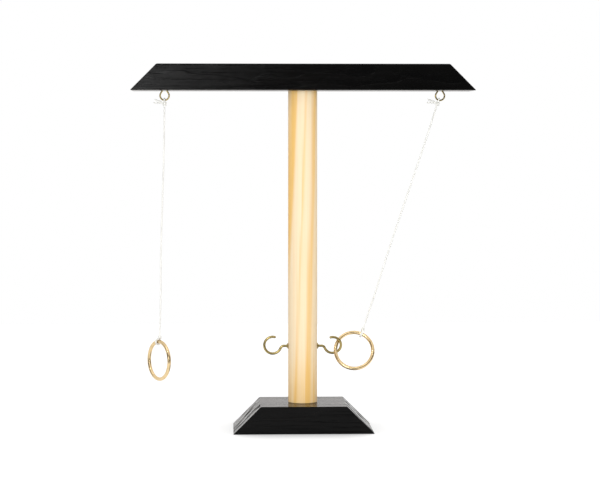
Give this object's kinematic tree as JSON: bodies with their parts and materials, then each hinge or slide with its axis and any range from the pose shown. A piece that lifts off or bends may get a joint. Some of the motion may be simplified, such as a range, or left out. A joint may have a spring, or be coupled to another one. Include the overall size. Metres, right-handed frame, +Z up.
{
  "type": "ring toss game",
  "caption": "Tabletop hook and ring toss game: black-stained wood base and beam, round pine post, cup hooks on both sides of it, and gold rings on cords, one hanging free and one caught.",
  "frame": {"origin": "On the table under the post's axis, in the plane of the base's underside.", "axes": "+Z up along the post, +X along the beam towards the caught ring, +Y to the back, away from the viewer of the picture."},
  "size_m": [0.281, 0.063, 0.3015],
  "materials": {
    "black_wood": "satin black stain over sawn wood, the grain showing faintly",
    "pine": "bare sanded pine dowel with long grain",
    "old_brass": "dull plated brass wire",
    "gold_brass": "polished gold-coloured wire",
    "cord": "twisted white cotton cord",
    "zinc": "zinc-plated steel"
  },
  "bodies": {
    "stand": {"base": "black_wood", "post": "pine", "beam": "black_wood", "base_insert": "zinc", "base_bolt": "zinc", "beam_insert": "zinc", "beam_bolt": "zinc", "left_screw_eye": "old_brass", "right_screw_eye": "old_brass", "left_hook": "old_brass", "right_hook": "old_brass", "left_hook_collar": "old_brass", "right_hook_collar": "old_brass"},
    "left_loop": {"left_eye_knot": "cord"},
    "left_line": {"left_cord": "cord"},
    "left_hitch": {"left_ring_knot": "cord"},
    "left_toss_ring": {"left_ring": "gold_brass"},
    "right_line": {"right_eye_knot": "cord", "right_cord": "cord", "right_ring_knot": "cord"},
    "right_toss_ring": {"right_ring": "gold_brass"}
  },
  "joints": [
    {"name": "left_side_swing", "type": "hinge", "parent": "stand", "child": "left_loop", "pos_m": [-0.1135, 0, 0.2759], "axis": [0, 1, 0], "range_deg": [-14, 44]},
    {"name": "left_fore_aft_swing", "type": "hinge", "parent": "left_loop", "child": "left_line", "pos_m": [-0.11366, 0, 0.2692], "axis": [0.9997, 0, -0.0244], "range_deg": [-75, 75]},
    {"name": "left_ring_turn", "type": "hinge", "parent": "left_line", "child": "left_hitch", "pos_m": [-0.11846, 0, 0.07296], "axis": [0.0244, 0, 0.9997], "continuous": true},
    {"name": "left_ring_tilt", "type": "hinge", "parent": "left_hitch", "child": "left_toss_ring", "pos_m": [-0.11846, 0, 0.07296], "axis": [0.559, -0.829, -0.0137], "range_deg": [-80, 80]},
    {"name": "right_line_swing", "type": "hinge", "parent": "stand", "child": "right_line", "pos_m": [0.11235, 0, 0.27238], "axis": [-0.3838, 0, -0.9234], "range_deg": [-8, 8]},
    {"name": "right_ring_rock", "type": "hinge", "parent": "right_line", "child": "right_toss_ring", "pos_m": [0.04907, 0.00362, 0.0784], "axis": [-0.8977, -0.1515, -0.4137], "range_deg": [-2, 20]}
  ]
}
